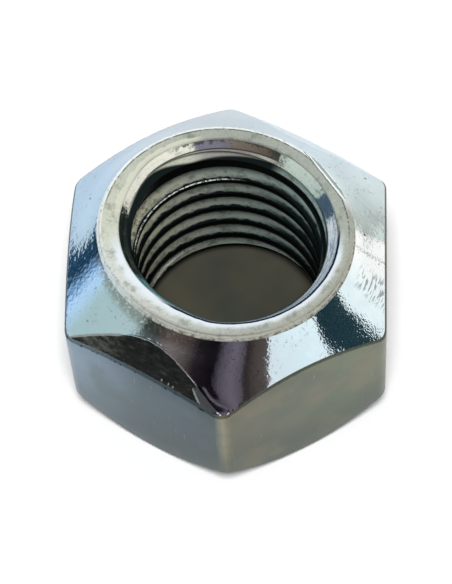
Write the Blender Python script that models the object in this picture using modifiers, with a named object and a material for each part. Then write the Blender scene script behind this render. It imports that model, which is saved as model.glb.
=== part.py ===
"""All-metal hexagon lock nut, M16 x 2, with a conical crown and a crimped collar.

The nut stands on its bearing face with its bore along +Z.
The origin is the centre of the bearing face, and one hexagon corner points to -Y.
"""

import math

import bmesh
import bpy
from mathutils import Matrix, Vector

# Hexagon
ACROSS_FLATS = 0.024
NUT_HEIGHT = 0.0155
CORNER_ROUNDING = 0.001
BEARING_SETBACK = 0.00035
UNDERSIDE_CHAMFER_DEG = 51.0
FIRST_CORNER_DEG = -90.0
HEXAGON_SIDES = 6
CORNER_SEGMENTS = 3

# Conical crown, and the collar that stands on it
CROWN_SLOPE_DEG = 41.6
COLLAR_WALL = 0.00136
COLLAR_HEIGHT = 0.00048
COLLAR_LIP_RADIUS = 0.0003
COLLAR_FOOT_RADIUS = 0.00035

# Thread, with the flat at its root as a share of the pitch
THREAD_DIAMETER = 0.016
THREAD_PITCH = 0.002
THREAD_DEPTH_SHARE = 0.5413
THREAD_ROOT_FLAT_SHARE = 0.125
THREAD_FLANK_DEG = 30.0
THREAD_PHASE_SHARE = 0.84
THREAD_LEAD_TURNS = 2

# Mouths of the bore, each wider than the thread
TOP_MOUTH_WIDENING = 0.00022
TOP_MOUTH_DEG = 58.0
RELIEF_RADIAL_DEPTH = 0.00044
RELIEF_LENGTH = 0.0029
RELIEF_RUNOUT_DEG = 45.0
BOTTOM_MOUTH_WIDENING = 0.00065
BOTTOM_MOUTH_DEG = 48.5

# Two crimps, pressed into the crown over opposite flats by barrel-faced jaws
CRIMP_DIRECTIONS_DEG = (60.0, 240.0)
CRIMP_DROP = 0.00099
CRIMP_SLOPE_DEG = 56.8
CRIMP_JAW_RADIUS = 0.05
CRIMP_JAW_THICKNESS = 0.006
COLLAR_SQUEEZE = 0.00034
SQUEEZE_LENGTH = 0.005

# Flat pressed on the collar's lip, behind on the right
LIP_FLAT_DIRECTION_DEG = 34.0
LIP_FLAT_DEPTH = 0.00044
LIP_FLAT_SLOPE_DEG = 38.0

# Fineness of the turned shapes, and how far a cutter runs past what it cuts
TURNING_STEPS = 72
JAW_STEPS = 144
ARC_SEGMENTS = 3
OVERRUN = 0.001
MERGE_DISTANCE = 0.000002
SMOOTH_EDGE_DEG = 25.0

# Bright zinc-plated steel
ZINC_COLOUR = (0.60, 0.62, 0.62, 1.0)
ZINC_METALLIC = 1.0
ZINC_ROUGHNESS = 0.32

# Sizes that follow from the ones above
apothem = ACROSS_FLATS / 2
corner_radius = apothem / math.cos(math.pi / HEXAGON_SIDES)
bearing_radius = apothem - BEARING_SETBACK
crown_top = NUT_HEIGHT - COLLAR_HEIGHT
crown_slope = math.tan(math.radians(CROWN_SLOPE_DEG))
thread_depth = THREAD_PITCH * THREAD_DEPTH_SHARE
major_radius = THREAD_DIAMETER / 2
minor_radius = major_radius - thread_depth
collar_radius = major_radius + COLLAR_WALL


def crown_height(radius):
    """Height of the crown's cone at a distance from the axis."""
    return crown_top - (radius - collar_radius) * crown_slope


def arc(centre, radius, start_deg, end_deg):
    """Points of a circular arc in the profile plane, both ends included."""
    points = []
    for step in range(ARC_SEGMENTS + 1):
        angle = math.radians(start_deg + (end_deg - start_deg) * step / ARC_SEGMENTS)
        points.append((centre[0] + radius * math.cos(angle), centre[1] + radius * math.sin(angle)))
    return points


def clear_scene():
    """Remove every object, so that the part stands alone in its own frame."""
    for item in list(bpy.data.objects):
        bpy.data.objects.remove(item, do_unlink=True)


def add_collection(name):
    collection = bpy.data.collections.new(name)
    bpy.context.scene.collection.children.link(collection)
    return collection


def add_object(name, mesh, collection):
    item = bpy.data.objects.new(name, mesh)
    collection.objects.link(item)
    return item


def mark_as_cutter(item):
    item.hide_render = True
    item.display_type = "WIRE"


def zinc_plated_steel():
    material = bpy.data.materials.new("bright_zinc_plated_steel")
    material.use_nodes = True
    shader = material.node_tree.nodes["Principled BSDF"]
    shader.inputs["Base Color"].default_value = ZINC_COLOUR
    shader.inputs["Metallic"].default_value = ZINC_METALLIC
    shader.inputs["Roughness"].default_value = ZINC_ROUGHNESS
    return material


def profile_mesh(name, points, closed):
    """A chain of edges in the XZ plane, on the +X side."""
    corners = [(radius, 0, height) for radius, height in points]
    edges = [(index, index + 1) for index in range(len(points) - 1)]
    if closed:
        edges.append((len(points) - 1, 0))
    mesh = bpy.data.meshes.new(name)
    mesh.from_pydata(corners, edges, [])
    return mesh


def turned(name, points, collection, steps, closed=False):
    """Revolve a profile once round the axis; it runs down its outer side."""
    item = add_object(name, profile_mesh(name, points, closed), collection)
    screw = item.modifiers.new("turning", "SCREW")
    screw.steps = steps
    screw.render_steps = steps
    screw.use_merge_vertices = True
    screw.merge_threshold = MERGE_DISTANCE
    return item


def envelope_profile():
    """Outer side of the turned blank: collar, crown cone and underside chamfer."""
    lip_centre = (collar_radius - COLLAR_LIP_RADIUS, NUT_HEIGHT - COLLAR_LIP_RADIUS)
    slope = math.radians(CROWN_SLOPE_DEG)
    foot_rise = COLLAR_FOOT_RADIUS * (1 / math.cos(slope) - math.tan(slope))
    foot_centre = (collar_radius + COLLAR_FOOT_RADIUS, crown_top + foot_rise)
    rim_radius = corner_radius + OVERRUN
    chamfer_rise = (rim_radius - bearing_radius) * math.tan(math.radians(UNDERSIDE_CHAMFER_DEG))
    points = [(0, NUT_HEIGHT)]
    points += arc(lip_centre, COLLAR_LIP_RADIUS, 90, 0)
    points += arc(foot_centre, COLLAR_FOOT_RADIUS, 180, 270 - CROWN_SLOPE_DEG)
    points.append((rim_radius, crown_height(rim_radius)))
    points.append((rim_radius, chamfer_rise))
    points.append((bearing_radius, 0))
    points.append((0, 0))
    return points


def bore_profile():
    """Outer side of the bore: top mouth, thread relief, crest bore and bottom mouth."""
    mouth_radius = major_radius + TOP_MOUTH_WIDENING
    relief_radius = minor_radius + RELIEF_RADIAL_DEPTH
    mouth_depth = (mouth_radius - relief_radius) * math.tan(math.radians(TOP_MOUTH_DEG))
    runout_length = RELIEF_RADIAL_DEPTH * math.tan(math.radians(RELIEF_RUNOUT_DEG))
    relief_bottom = NUT_HEIGHT - RELIEF_LENGTH
    bottom_mouth_radius = major_radius + BOTTOM_MOUTH_WIDENING
    bottom_slope = math.tan(math.radians(BOTTOM_MOUTH_DEG))
    bottom_mouth_depth = (bottom_mouth_radius - minor_radius) * bottom_slope
    top_overrun = OVERRUN / math.tan(math.radians(TOP_MOUTH_DEG))
    return [
        (0, NUT_HEIGHT + OVERRUN),
        (mouth_radius + top_overrun, NUT_HEIGHT + OVERRUN),
        (relief_radius, NUT_HEIGHT - mouth_depth),
        (relief_radius, relief_bottom),
        (minor_radius, relief_bottom - runout_length),
        (minor_radius, bottom_mouth_depth),
        (bottom_mouth_radius + OVERRUN / bottom_slope, -OVERRUN),
        (0, -OVERRUN),
    ]


def thread_groove(collection):
    """Right-hand helical groove with 60 degree flanks, closed at both ends."""
    inner_radius = minor_radius - thread_depth / HEXAGON_SIDES
    root_half = THREAD_PITCH * THREAD_ROOT_FLAT_SHARE / 2
    mouth_half = root_half + (major_radius - inner_radius) * math.tan(math.radians(THREAD_FLANK_DEG))
    start = THREAD_PITCH * (THREAD_PHASE_SHARE - THREAD_LEAD_TURNS)
    turns = math.ceil(NUT_HEIGHT / THREAD_PITCH) + THREAD_LEAD_TURNS + 1
    points = [
        (inner_radius, start + mouth_half),
        (major_radius, start + root_half),
        (major_radius, start - root_half),
        (inner_radius, start - mouth_half),
    ]
    helix = add_object("thread_helix", profile_mesh("thread_helix", points, True), collection)
    screw = helix.modifiers.new("helix", "SCREW")
    screw.screw_offset = THREAD_PITCH
    screw.iterations = turns
    screw.steps = TURNING_STEPS
    screw.render_steps = TURNING_STEPS
    mesh = evaluated_mesh(helix, "thread_groove")
    bpy.data.objects.remove(helix, do_unlink=True)
    close_ends(mesh)
    return add_object("thread_groove", mesh, collection)


def evaluated_mesh(item, name):
    """The object's mesh with its modifiers applied."""
    bpy.context.view_layer.update()
    depsgraph = bpy.context.evaluated_depsgraph_get()
    mesh = bpy.data.meshes.new_from_object(item.evaluated_get(depsgraph))
    mesh.name = name
    return mesh


def close_ends(mesh):
    """Fill the open ends of a swept tube and turn its faces outward."""
    work = bmesh.new()
    work.from_mesh(mesh)
    open_edges = [edge for edge in work.edges if edge.is_boundary]
    bmesh.ops.holes_fill(work, edges=open_edges)
    bmesh.ops.recalc_face_normals(work, faces=work.faces)
    work.to_mesh(mesh)
    work.free()


def crimp_jaw(direction_deg, collection):
    """Barrel-faced ring whose inner wall presses one facet into the crown."""
    slope = math.tan(math.radians(CRIMP_SLOPE_DEG))
    facet_edge = crown_height(apothem) - CRIMP_DROP
    half_flat = apothem * math.tan(math.pi / HEXAGON_SIDES)
    corner_sag = half_flat ** 2 / (2 * CRIMP_JAW_RADIUS)
    low = facet_edge - corner_sag * slope - OVERRUN
    high = NUT_HEIGHT + OVERRUN
    wall_low = CRIMP_JAW_RADIUS + (facet_edge - low) / slope
    wall_high = CRIMP_JAW_RADIUS - (high - facet_edge) / slope
    outer = wall_low + CRIMP_JAW_THICKNESS
    points = [(wall_high, high), (outer, high), (outer, low), (wall_low, low)]
    name = f"crimp_jaw_{direction_deg:.0f}"
    jaw = turned(name, points, collection, JAW_STEPS, closed=True)
    turn = Matrix.Rotation(math.radians(direction_deg), 4, "Z")
    jaw.matrix_world = turn @ Matrix.Translation((apothem - CRIMP_JAW_RADIUS, 0, 0))
    return jaw


def lip_flat_block(collection):
    """Block whose underside slants across the collar's lip and takes a flat off it."""
    work = bmesh.new()
    bmesh.ops.create_cube(work, size=2 * collar_radius)
    bmesh.ops.translate(work, verts=work.verts, vec=(0, 0, collar_radius))
    mesh = bpy.data.meshes.new("lip_flat")
    work.to_mesh(mesh)
    work.free()
    block = add_object("lip_flat", mesh, collection)
    turn = Matrix.Rotation(math.radians(LIP_FLAT_DIRECTION_DEG), 4, "Z")
    place = Matrix.Translation((collar_radius - LIP_FLAT_DEPTH, 0, NUT_HEIGHT))
    lean = Matrix.Rotation(math.radians(LIP_FLAT_SLOPE_DEG), 4, "Y")
    block.matrix_world = turn @ place @ lean
    return block


def hexagon_prism(name, collection):
    """Hexagonal bar with rounded corners, longer than the nut at both ends."""
    work = bmesh.new()
    length = NUT_HEIGHT + 2 * OVERRUN
    bmesh.ops.create_cone(
        work,
        cap_ends=True,
        segments=HEXAGON_SIDES,
        radius1=corner_radius,
        radius2=corner_radius,
        depth=length,
    )
    bmesh.ops.translate(work, verts=work.verts, vec=(0, 0, NUT_HEIGHT / 2))
    first = min(work.verts, key=lambda vertex: math.atan2(vertex.co.y, vertex.co.x))
    offset = math.radians(FIRST_CORNER_DEG) - math.atan2(first.co.y, first.co.x)
    bmesh.ops.rotate(work, verts=work.verts, cent=Vector(), matrix=Matrix.Rotation(offset, 3, "Z"))
    uprights = [edge for edge in work.edges if abs(edge.verts[0].co.z - edge.verts[1].co.z) > OVERRUN]
    setback = CORNER_ROUNDING * math.tan(math.pi / HEXAGON_SIDES)
    bmesh.ops.bevel(
        work,
        geom=uprights,
        offset=setback,
        offset_type="OFFSET",
        segments=CORNER_SEGMENTS,
        profile=0.5,
        affect="EDGES",
    )
    mesh = bpy.data.meshes.new(name)
    work.to_mesh(mesh)
    work.free()
    return add_object(name, mesh, collection)


def add_boolean(item, operation, tool):
    modifier = item.modifiers.new(tool.name, "BOOLEAN")
    modifier.operation = operation
    modifier.solver = "EXACT"
    modifier.object = tool


def smooth_share(value):
    """Blend from 0 to 1 with level ends."""
    held = min(max(value, 0.0), 1.0)
    return held * held * (3 - 2 * held)


def squeeze_collar(mesh):
    """Press the collar oval, full at the top face and fading down the bore and out to the flats."""
    crimp = math.radians(CRIMP_DIRECTIONS_DEG[0])
    ovality = COLLAR_SQUEEZE / collar_radius
    for vertex in mesh.vertices:
        radius = math.hypot(vertex.co.x, vertex.co.y)
        angle = math.atan2(vertex.co.y, vertex.co.x)
        upward = smooth_share((vertex.co.z - NUT_HEIGHT + SQUEEZE_LENGTH) / SQUEEZE_LENGTH)
        inward = smooth_share((apothem - radius) / (apothem - collar_radius))
        scale = 1 - ovality * upward * inward * math.cos(2 * (angle - crimp))
        vertex.co.x *= scale
        vertex.co.y *= scale


def join_close_points(mesh):
    work = bmesh.new()
    work.from_mesh(mesh)
    bmesh.ops.remove_doubles(work, verts=work.verts, dist=MERGE_DISTANCE)
    work.to_mesh(mesh)
    work.free()


def build_nut():
    nut_parts = add_collection("lock nut")
    cutters = add_collection("cutters")

    nut = hexagon_prism("lock_nut", nut_parts)
    envelope = turned("turned_envelope", envelope_profile(), cutters, TURNING_STEPS)
    bore = turned("bore", bore_profile(), cutters, TURNING_STEPS)
    bore.rotation_euler.z = math.pi / TURNING_STEPS
    groove = thread_groove(cutters)
    jaws = [crimp_jaw(direction, cutters) for direction in CRIMP_DIRECTIONS_DEG]
    lip_flat = lip_flat_block(cutters)

    add_boolean(nut, "INTERSECT", envelope)
    for tool in jaws + [lip_flat, bore, groove]:
        add_boolean(nut, "DIFFERENCE", tool)
    for tool in cutters.objects:
        mark_as_cutter(tool)

    finished = evaluated_mesh(nut, "lock_nut")
    nut.modifiers.clear()
    nut.data = finished
    squeeze_collar(finished)
    join_close_points(finished)
    finished.materials.clear()
    finished.materials.append(zinc_plated_steel())
    finished.shade_smooth()
    finished.set_sharp_from_angle(angle=math.radians(SMOOTH_EDGE_DEG))


clear_scene()
build_nut()
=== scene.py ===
"""Looks of the all-metal lock nut: a finely modelled zinc-plated nut on a pale studio floor.

The nut's surface is one closed grid. Its columns run up the outside, over the collar and down
the bore, one column for each small step of angle, and rows follow every edge of the shape.
"""

import math

import bmesh
import bpy
import numpy as np
from mathutils import Matrix, Vector, noise


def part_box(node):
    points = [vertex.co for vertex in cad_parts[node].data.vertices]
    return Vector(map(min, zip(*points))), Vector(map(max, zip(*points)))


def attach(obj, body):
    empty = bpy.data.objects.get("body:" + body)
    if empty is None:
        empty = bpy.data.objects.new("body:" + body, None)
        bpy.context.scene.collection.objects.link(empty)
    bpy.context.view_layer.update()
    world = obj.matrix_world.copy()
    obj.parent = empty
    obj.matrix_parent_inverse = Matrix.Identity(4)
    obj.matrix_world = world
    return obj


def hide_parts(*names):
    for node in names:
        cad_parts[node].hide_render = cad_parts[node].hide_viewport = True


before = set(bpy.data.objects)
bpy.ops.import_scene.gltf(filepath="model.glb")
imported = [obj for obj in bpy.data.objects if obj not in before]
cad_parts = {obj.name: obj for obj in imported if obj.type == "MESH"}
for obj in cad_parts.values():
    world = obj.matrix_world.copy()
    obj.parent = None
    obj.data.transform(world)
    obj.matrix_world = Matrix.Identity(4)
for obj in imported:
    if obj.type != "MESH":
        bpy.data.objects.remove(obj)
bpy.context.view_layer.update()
cad_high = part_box("lock_nut")[1]

# Sizes read from the frame
apothem = cad_high.x
corner_reach = cad_high.y
nut_height = cad_high.z

# Sizes shared with the nut's solid, in metres
BEARING_SETBACK = 0.00035
CHAMFER_SLOPE = math.tan(math.radians(51.0))
CROWN_SLOPE = math.tan(math.radians(41.6))
COLLAR_RADIUS = 0.00936
COLLAR_HEIGHT = 0.00048
LIP_RADIUS = 0.0003
FOOT_RADIUS = 0.00035
THREAD_PITCH = 0.002
THREAD_MAJOR = 0.008
THREAD_MINOR = 0.0069174
ROOT_FLAT = 0.00025
GROOVE_HEIGHT_AT_ZERO = 0.00168
FLANK_SLOPE = math.tan(math.radians(30.0))
TOP_MOUTH = 0.00822
TOP_MOUTH_SLOPE = math.tan(math.radians(58.0))
RELIEF_DEPTH = 0.00044
RELIEF_LENGTH = 0.0029
BOTTOM_MOUTH = 0.00865
BOTTOM_SLOPE = math.tan(math.radians(48.5))
CRIMP_DIRECTIONS = (math.radians(60.0), math.radians(240.0))
CRIMP_DROP = 0.00099
CRIMP_SLOPE = math.tan(math.radians(56.8))
JAW_RADIUS = 0.05
COLLAR_SQUEEZE = 0.00034
SQUEEZE_LENGTH = 0.005
LIP_FLAT_DIRECTION = math.radians(34.0)
LIP_FLAT_DEPTH = 0.00044
LIP_FLAT_SLOPE = math.tan(math.radians(38.0))

# Fineness of the surface: columns round the nut, rows on each stretch, and roundings of the edges
COLUMNS = 540
FACE_ROWS = 4
CHAMFER_ROWS = 4
WALL_ROWS = 6
EDGE_ROWS = 4
CROWN_ROWS = 36
ARC_ROWS = 6
TOP_ROWS = 6
BORE_ROWS = 90
SHARP_EDGE = 0.0001
WALL_EDGE = 0.00016
CREST_EDGE = 0.00004
MOUTH_EDGE = 0.00016
SHADED_EDGE = math.radians(38.0)

# Care with nearly equal lengths, in metres, and marks for the kinks that rows follow
TOUCHING = 1e-9
LEAST_PRESSED = 1e-6
LEAST_GAP = 4e-6
FAR_AWAY = 1.0
HALVINGS = 40
CRIMP_MARK = 1
MARKS_PER_TURN = 10
MARKED_TURNS_BELOW = 20
PLAIN_MARK = 1000
CROSSING_MARK = 2000

MM = 1000.0
FULL_TURN = 2 * math.pi
FIRST_CORNER = -math.pi / 2
SECTOR = math.pi / 3
HALF_SECTOR = SECTOR / 2
SEED_SKEW = 0.7

crown_top = nut_height - COLLAR_HEIGHT
bearing_radius = apothem - BEARING_SETBACK
secant = 1 / math.cos(HALF_SECTOR)
corner_rounding = (apothem * secant - corner_reach) / (secant - 1)
corner_centre = (apothem - corner_rounding) * secant


def layered_noise(point, layers):
    """Smooth noise at a point, the same on every run; layers are (scale, seed, weight)."""
    total = 0.0
    for scale, seed, weight in layers:
        shift = Vector((seed, seed * SEED_SKEW, -seed))
        total += weight * noise.noise(Vector(point) * scale + shift)
    return total


def ring_noise(angles, layers):
    """Smooth noise round the axis that closes on itself."""
    return np.array([layered_noise((math.cos(a), math.sin(a), 0), layers) for a in angles])


def smooth_share(value):
    held = np.clip(value, 0.0, 1.0)
    return held * held * (3 - 2 * held)


def add_object(name, data):
    made = bpy.data.objects.new(name, data)
    bpy.context.scene.collection.objects.link(made)
    return made


# The nut's surface

def hexagon_radius(angle):
    """Distance from the axis to the side wall, with rounded upright corners."""
    from_corner = np.abs((angle - FIRST_CORNER + HALF_SECTOR) % SECTOR - HALF_SECTOR)
    flat = apothem / np.cos(HALF_SECTOR - from_corner)
    reach = corner_rounding ** 2 - (corner_centre * np.sin(from_corner)) ** 2
    rounded = corner_centre * np.cos(from_corner) + np.sqrt(np.maximum(reach, 0))
    side = corner_rounding * math.sin(HALF_SECTOR)
    ahead = corner_centre + corner_rounding * math.cos(HALF_SECTOR)
    return np.where(from_corner < math.atan2(side, ahead), rounded, flat)


def crown_height(radius):
    return crown_top - (radius - COLLAR_RADIUS) * CROWN_SLOPE


def crimp_height(radius, angle):
    """Height of the nearer crimp's pressed face over a point; far above it elsewhere."""
    height = np.full(np.shape(angle), FAR_AWAY)
    edge = crown_height(apothem) - CRIMP_DROP
    for direction in CRIMP_DIRECTIONS:
        outward = radius * np.cos(angle - direction)
        along = radius * np.sin(angle - direction)
        wall = apothem - JAW_RADIUS + np.sqrt(JAW_RADIUS ** 2 - along ** 2)
        height = np.minimum(height, edge + (wall - outward) * CRIMP_SLOPE)
    return height


def crown_surface(radius, angle):
    return np.minimum(crown_height(radius), crimp_height(radius, angle))


def straight_rows(first, last, count):
    """Rows from one point to another, the last one left out."""
    rows = []
    for step in range(count):
        t = step / count
        rows.append(tuple(a + (b - a) * t for a, b in zip(first, last)))
    return rows


def rounded_rows(first, corner, last):
    """Rows that round a corner from one point to another, the last one left out."""
    rows = []
    for step in range(EDGE_ROWS):
        t = step / EDGE_ROWS
        curve = zip(first, corner, last)
        rows.append(tuple((1 - t) ** 2 * a + 2 * t * (1 - t) * b + t * t * c for a, b, c in curve))
    return rows


def arc_rows(centre, radius, start, sweep):
    """Rows round part of a circle, the last one left out."""
    turns = [start + sweep * step / ARC_ROWS for step in range(ARC_ROWS)]
    return [(centre[0] + radius * math.cos(turn), centre[1] + radius * math.sin(turn)) for turn in turns]


def place_kinks(end, count, kinks):
    """Spread count + 1 places from 0 to the end so that each kink falls on one of them."""
    places = [0.0] + [None] * (count - 1) + [end]
    marks = [0] * (count + 1)
    taken = 0
    for index, (place, mark) in enumerate(kinks):
        room = count - (len(kinks) - index)
        taken = min(max(round(place / end * count), taken + 1), room)
        places[taken] = place
        marks[taken] = mark
    known = [row for row, place in enumerate(places) if place is not None]
    for low, high in zip(known, known[1:]):
        for row in range(low + 1, high):
            places[row] = places[low] + (places[high] - places[low]) * (row - low) / (high - low)
    return places, marks


def crown_rows(angles, edge_radius, foot_start):
    """Rows up the crown's cone, one of them along the crimp's upper edge."""
    low = np.full(len(angles), foot_start)
    high = edge_radius.copy()
    crimped = crimp_height(edge_radius, angles) < crown_height(edge_radius)
    for _ in range(HALVINGS):
        middle = (low + high) / 2
        outside = crimp_height(middle, angles) < crown_height(middle)
        high = np.where(outside, middle, high)
        low = np.where(outside, low, middle)
    radii = np.zeros((CROWN_ROWS + 1, len(angles)))
    marks = np.zeros((CROWN_ROWS + 1, len(angles)), int)
    for column, edge in enumerate(edge_radius):
        span = edge - foot_start
        kinks = []
        if crimped[column] and edge - high[column] > span / CROWN_ROWS / 2:
            kinks.append((edge - high[column], CRIMP_MARK))
        places, marks[:, column] = place_kinks(span, CROWN_ROWS, kinks)
        radii[:, column] = edge - np.array(places)
    return radii, marks, np.where(crimped, high, FAR_AWAY)


def plain_bore():
    """The bore without its groove, from the bottom mouth up: (height, radius) points."""
    relief_radius = THREAD_MINOR + RELIEF_DEPTH
    relief_bottom = nut_height - RELIEF_LENGTH
    return [
        (0.0, BOTTOM_MOUTH),
        ((BOTTOM_MOUTH - THREAD_MINOR) * BOTTOM_SLOPE, THREAD_MINOR),
        (relief_bottom - RELIEF_DEPTH, THREAD_MINOR),
        (relief_bottom, relief_radius),
        (nut_height - (TOP_MOUTH - relief_radius) * TOP_MOUTH_SLOPE, relief_radius),
        (nut_height, TOP_MOUTH),
    ]


def groove_points(phase):
    """The thread's profile over the whole height: (height, radius, mark) points."""
    root = ROOT_FLAT / 2
    mouth = root + (THREAD_MAJOR - THREAD_MINOR) * FLANK_SLOPE
    dip = CREST_EDGE * FLANK_SLOPE
    profile = (
        (-mouth - CREST_EDGE, THREAD_MINOR),
        (-mouth + dip, THREAD_MINOR + CREST_EDGE),
        (-root, THREAD_MAJOR),
        (root, THREAD_MAJOR),
        (mouth - dip, THREAD_MINOR + CREST_EDGE),
        (mouth + CREST_EDGE, THREAD_MINOR),
    )
    points = []
    first = math.floor(-phase / THREAD_PITCH) - 1
    for turn in range(first, first + math.ceil(nut_height / THREAD_PITCH) + 3):
        for number, (offset, radius) in enumerate(profile, 1):
            mark = MARKS_PER_TURN * (turn + MARKED_TURNS_BELOW) + number
            points.append((phase + turn * THREAD_PITCH + offset, radius, mark))
    return points


def radius_on(points, height):
    heights = [point[0] for point in points]
    radii = [point[1] for point in points]
    return float(np.interp(height, heights, radii))


def bore_kinks(groove, plain, top):
    """Kinks (height, mark) of the threaded bore above one place on the ring, from the bottom up."""
    kinks = []
    for height, radius, mark in groove:
        if 0 < height < nut_height and radius >= radius_on(plain, height) - TOUCHING:
            kinks.append((height, mark))
    for index, (height, radius) in enumerate(plain[1:-1]):
        if radius > radius_on(groove, height) - TOUCHING:
            kinks.append((height, PLAIN_MARK + index))
    corners = sorted({point[0] for point in groove} | {point[0] for point in plain})
    corners = [height for height in corners if 0 <= height <= nut_height]
    for low, high in zip(corners, corners[1:]):
        gap_low = radius_on(groove, low) - radius_on(plain, low)
        gap_high = radius_on(groove, high) - radius_on(plain, high)
        if high - low >= TOUCHING and gap_low * gap_high < -TOUCHING ** 2:
            kinks.append((low + (high - low) * gap_low / (gap_low - gap_high), CROSSING_MARK))
    spaced = []
    for kink in sorted(kinks):
        if not spaced or kink[0] - spaced[-1][0] > LEAST_GAP:
            spaced.append(kink)
    return [kink for kink in spaced if LEAST_GAP < kink[0] < top - LEAST_GAP]


def bore_rows(angles, top):
    """Rows down the bore from just under the face, each kink of the thread on one of them."""
    shape = (BORE_ROWS + 1, len(angles))
    radii = np.zeros(shape)
    heights = np.zeros(shape)
    marks = np.zeros(shape, int)
    plain = plain_bore()
    for column, angle in enumerate(angles):
        groove = groove_points(GROOVE_HEIGHT_AT_ZERO + THREAD_PITCH * angle / FULL_TURN)
        places, found = place_kinks(top, BORE_ROWS, bore_kinks(groove, plain, top))
        heights[:, column] = places[::-1]
        for row, place in enumerate(places[::-1]):
            radii[row, column] = max(radius_on(groove, place), radius_on(plain, place))
        marks[:, column] = found[::-1]
    return radii, heights, marks


def squeeze(radius, height, angle):
    """Scale that presses the collar oval, as on the solid."""
    upward = smooth_share((height - nut_height + SQUEEZE_LENGTH) / SQUEEZE_LENGTH)
    inward = smooth_share((apothem - radius) / (apothem - COLLAR_RADIUS))
    swing = np.cos(2 * (angle - CRIMP_DIRECTIONS[0]))
    return 1 - COLLAR_SQUEEZE / COLLAR_RADIUS * upward * inward * swing


# How far the mouth's left side stands inward of the true circle
MOUTH_PUSH = 0.00036
MOUTH_PUSH_DIRECTION = math.radians(-160.0)
MOUTH_PUSH_START = 0.35
MOUTH_PUSH_FADE = 0.45
MOUTH_PUSH_LENGTH = 0.0024
MOUTH_PUSH_BLEND = 0.001

# Wear: chips along the rim, the rough pressed face and burrs on its upper edge, with painted highlights on
# the burrs and on the crimp's edge at its left end
CHIP_NOISE = ((55.0, 3.1, 1.0), (130.0, 8.4, 0.6))
CHIP_REACH = 0.00035
CHIP_DEPTH = 0.00012
CHIP_FULL_DEPTH = 0.5
CHIP_FULL_DARK = 0.4
CHIP_DEPTH_BEHIND = 0.2
CHIP_DARK_BEHIND = 0.3
CHIP_FRONT_START = 0.80
CHIP_FRONT_FADE = 0.06
PRESSED_NOISE = ((2200.0, 1.3, 1.0), (5200.0, 4.2, 0.7))
PRESSED_ROUGHNESS = 0.00003
BURR_NOISE = ((90.0, 5.5, 1.0), (190.0, 2.7, 1.0))
BURR_FULL = 0.7
BURR_SWAY = 0.4
BURR_REACH = 0.00009
BURR_HEIGHT = 0.000007
BURR_SHINE = 0.35
BRIGHT_EDGE_DIRECTION = math.radians(-143.0)
BRIGHT_EDGE_START = 0.975
BRIGHT_EDGE_FADE = 0.015
BRIGHT_EDGE_SHINE = 1.2

# The gouge by the front corner, with its ridge, a painted highlight along its edge and a painted shadow in
# its hollow, and the small nicks with painted highlights, and the pits
GOUGE_PATH = (
    (-98.8, 0.01185),
    (-96.8, 0.01242),
    (-95.2, 0.01280),
    (-92.4, 0.01318),
    (-88.6, 0.01348),
)
GOUGE_WIDTH = 0.00034
GOUGE_RIDGE = 0.00004
GOUGE_EDGE_WIDTH = 0.0001
GOUGE_EDGE_SHINE = 1.3
GOUGE_HOLLOW_SETBACK = 0.0005
GOUGE_HOLLOW_WIDTH = 0.0002
GOUGE_HOLLOW_DEPTH = 0.00003
GOUGE_PAINTED_SHADOW = 0.5
GOUGE_START = 0.0117
GOUGE_END = 0.0136
GOUGE_TAPER = 0.0006
SPOT_WIDTH = 0.0001
NICKS = ((-112.2, 0.01185), (-107.6, 0.01205), (-109.5, 0.01196))
NICK_HEIGHT = 0.00005
NICK_SHINE = 1.3
PITS = ((159.8, 0.01105), (1.2, 0.01022), (31.5, 0.01215))
PIT_DARK = 1.2


def polar(degrees, reach):
    turn = math.radians(degrees)
    return np.array([reach * math.cos(turn), reach * math.sin(turn)])


def from_gouge(x, y):
    """Distance from the gouge's path, positive on the side of the pressed face."""
    nearest = np.full(x.shape, FAR_AWAY)
    for first, last in zip(GOUGE_PATH, GOUGE_PATH[1:]):
        start = polar(*first)
        path = polar(*last) - start
        length = np.linalg.norm(path)
        along = path / length
        step_x = x - start[0]
        step_y = y - start[1]
        ahead = np.clip(step_x * along[0] + step_y * along[1], 0, length)
        off_x = step_x - ahead * along[0]
        off_y = step_y - ahead * along[1]
        side = np.sign(along[1] * off_x - along[0] * off_y)
        gap = np.hypot(off_x, off_y)
        nearest = np.where(gap < np.abs(nearest), side * gap, nearest)
    return nearest


def push_mouth(radius, height, angles):
    """Move the mouth's left side a little inward, as the crimps have left it."""
    toward = smooth_share((np.cos(angles - MOUTH_PUSH_DIRECTION) - MOUTH_PUSH_START) / MOUTH_PUSH_FADE)
    rise = smooth_share((height - nut_height + MOUTH_PUSH_LENGTH) / MOUTH_PUSH_BLEND)
    inner = smooth_share((COLLAR_RADIUS - LIP_RADIUS - radius) / (COLLAR_RADIUS - LIP_RADIUS - TOP_MOUTH))
    return radius - MOUTH_PUSH * toward * rise * inner


def hump(distance, width):
    return np.exp(-(distance / width) ** 2)


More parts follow.
